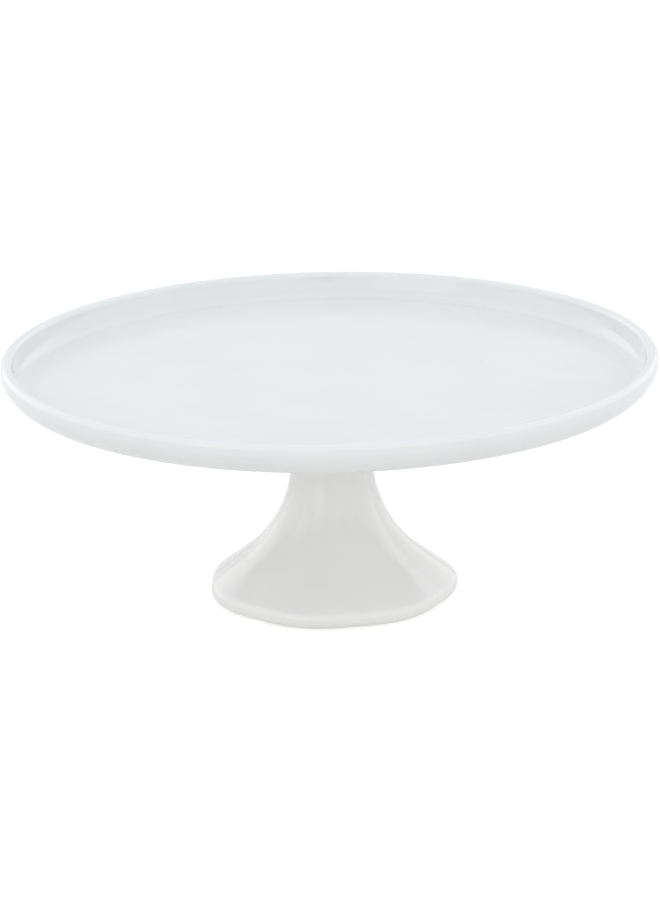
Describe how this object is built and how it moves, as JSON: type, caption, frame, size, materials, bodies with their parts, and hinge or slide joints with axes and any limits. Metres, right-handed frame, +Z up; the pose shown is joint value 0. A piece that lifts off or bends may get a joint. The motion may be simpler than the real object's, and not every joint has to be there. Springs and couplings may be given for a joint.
{
  "type": "footed cake stand",
  "caption": "Round footed cake stand: shallow white glazed plate with a rolled rim on a hollow lobed pedestal, joined by a screw from below.",
  "frame": {"origin": "on the table under the middle of the foot: the bottom centre of the bounding box", "axes": "+Z is up along the stand's axis; -Y is the side that faces the viewer; +X is the viewer's right"},
  "size_m": [0.3006, 0.3006, 0.116],
  "materials": {
    "white_glaze": "glossy white glaze",
    "pedestal_glaze": "glossy white glaze, bare foot ring",
    "brass": "knurled, machined",
    "silicone_gasket": "translucent white silicone",
    "black_rubber": "matt rubber",
    "zinc_steel": "bright zinc plate",
    "spring_steel": "zinc-plated spring steel",
    "clear_silicone": "clear silicone bumper"
  },
  "bodies": {
    "pedestal": {"pedestal": "pedestal_glaze", "neck_gasket": "silicone_gasket", "foot_pad_1": "clear_silicone", "foot_pad_2": "clear_silicone", "foot_pad_3": "clear_silicone", "foot_pad_4": "clear_silicone", "foot_pad_5": "clear_silicone", "foot_pad_6": "clear_silicone", "foot_pad_7": "clear_silicone"},
    "plate": {"plate": "white_glaze", "threaded_insert": "brass"},
    "washers": {"rubber_washer": "black_rubber", "flat_washer": "zinc_steel", "lock_washer": "spring_steel"},
    "screw": {"clamp_screw": "zinc_steel"}
  },
  "joints": [
    {"name": "plate_lift", "type": "slide", "parent": "pedestal", "child": "plate", "axis": [0, 0, 1], "range_m": [0, 0.05]},
    {"name": "stack_drop", "type": "slide", "parent": "pedestal", "child": "washers", "axis": [0, 0, -1], "range_m": [0, 0.008]},
    {"name": "screw_turn", "type": "hinge", "parent": "washers", "child": "screw", "pos_m": [0, 0, 0.0815], "axis": [0, 0, -1], "range_deg": [0, 2880]}
  ],
  "couplings": [
    {"joint": "screw_turn", "follows": "stack_drop", "rad_per_m": 6283.2}
  ]
}
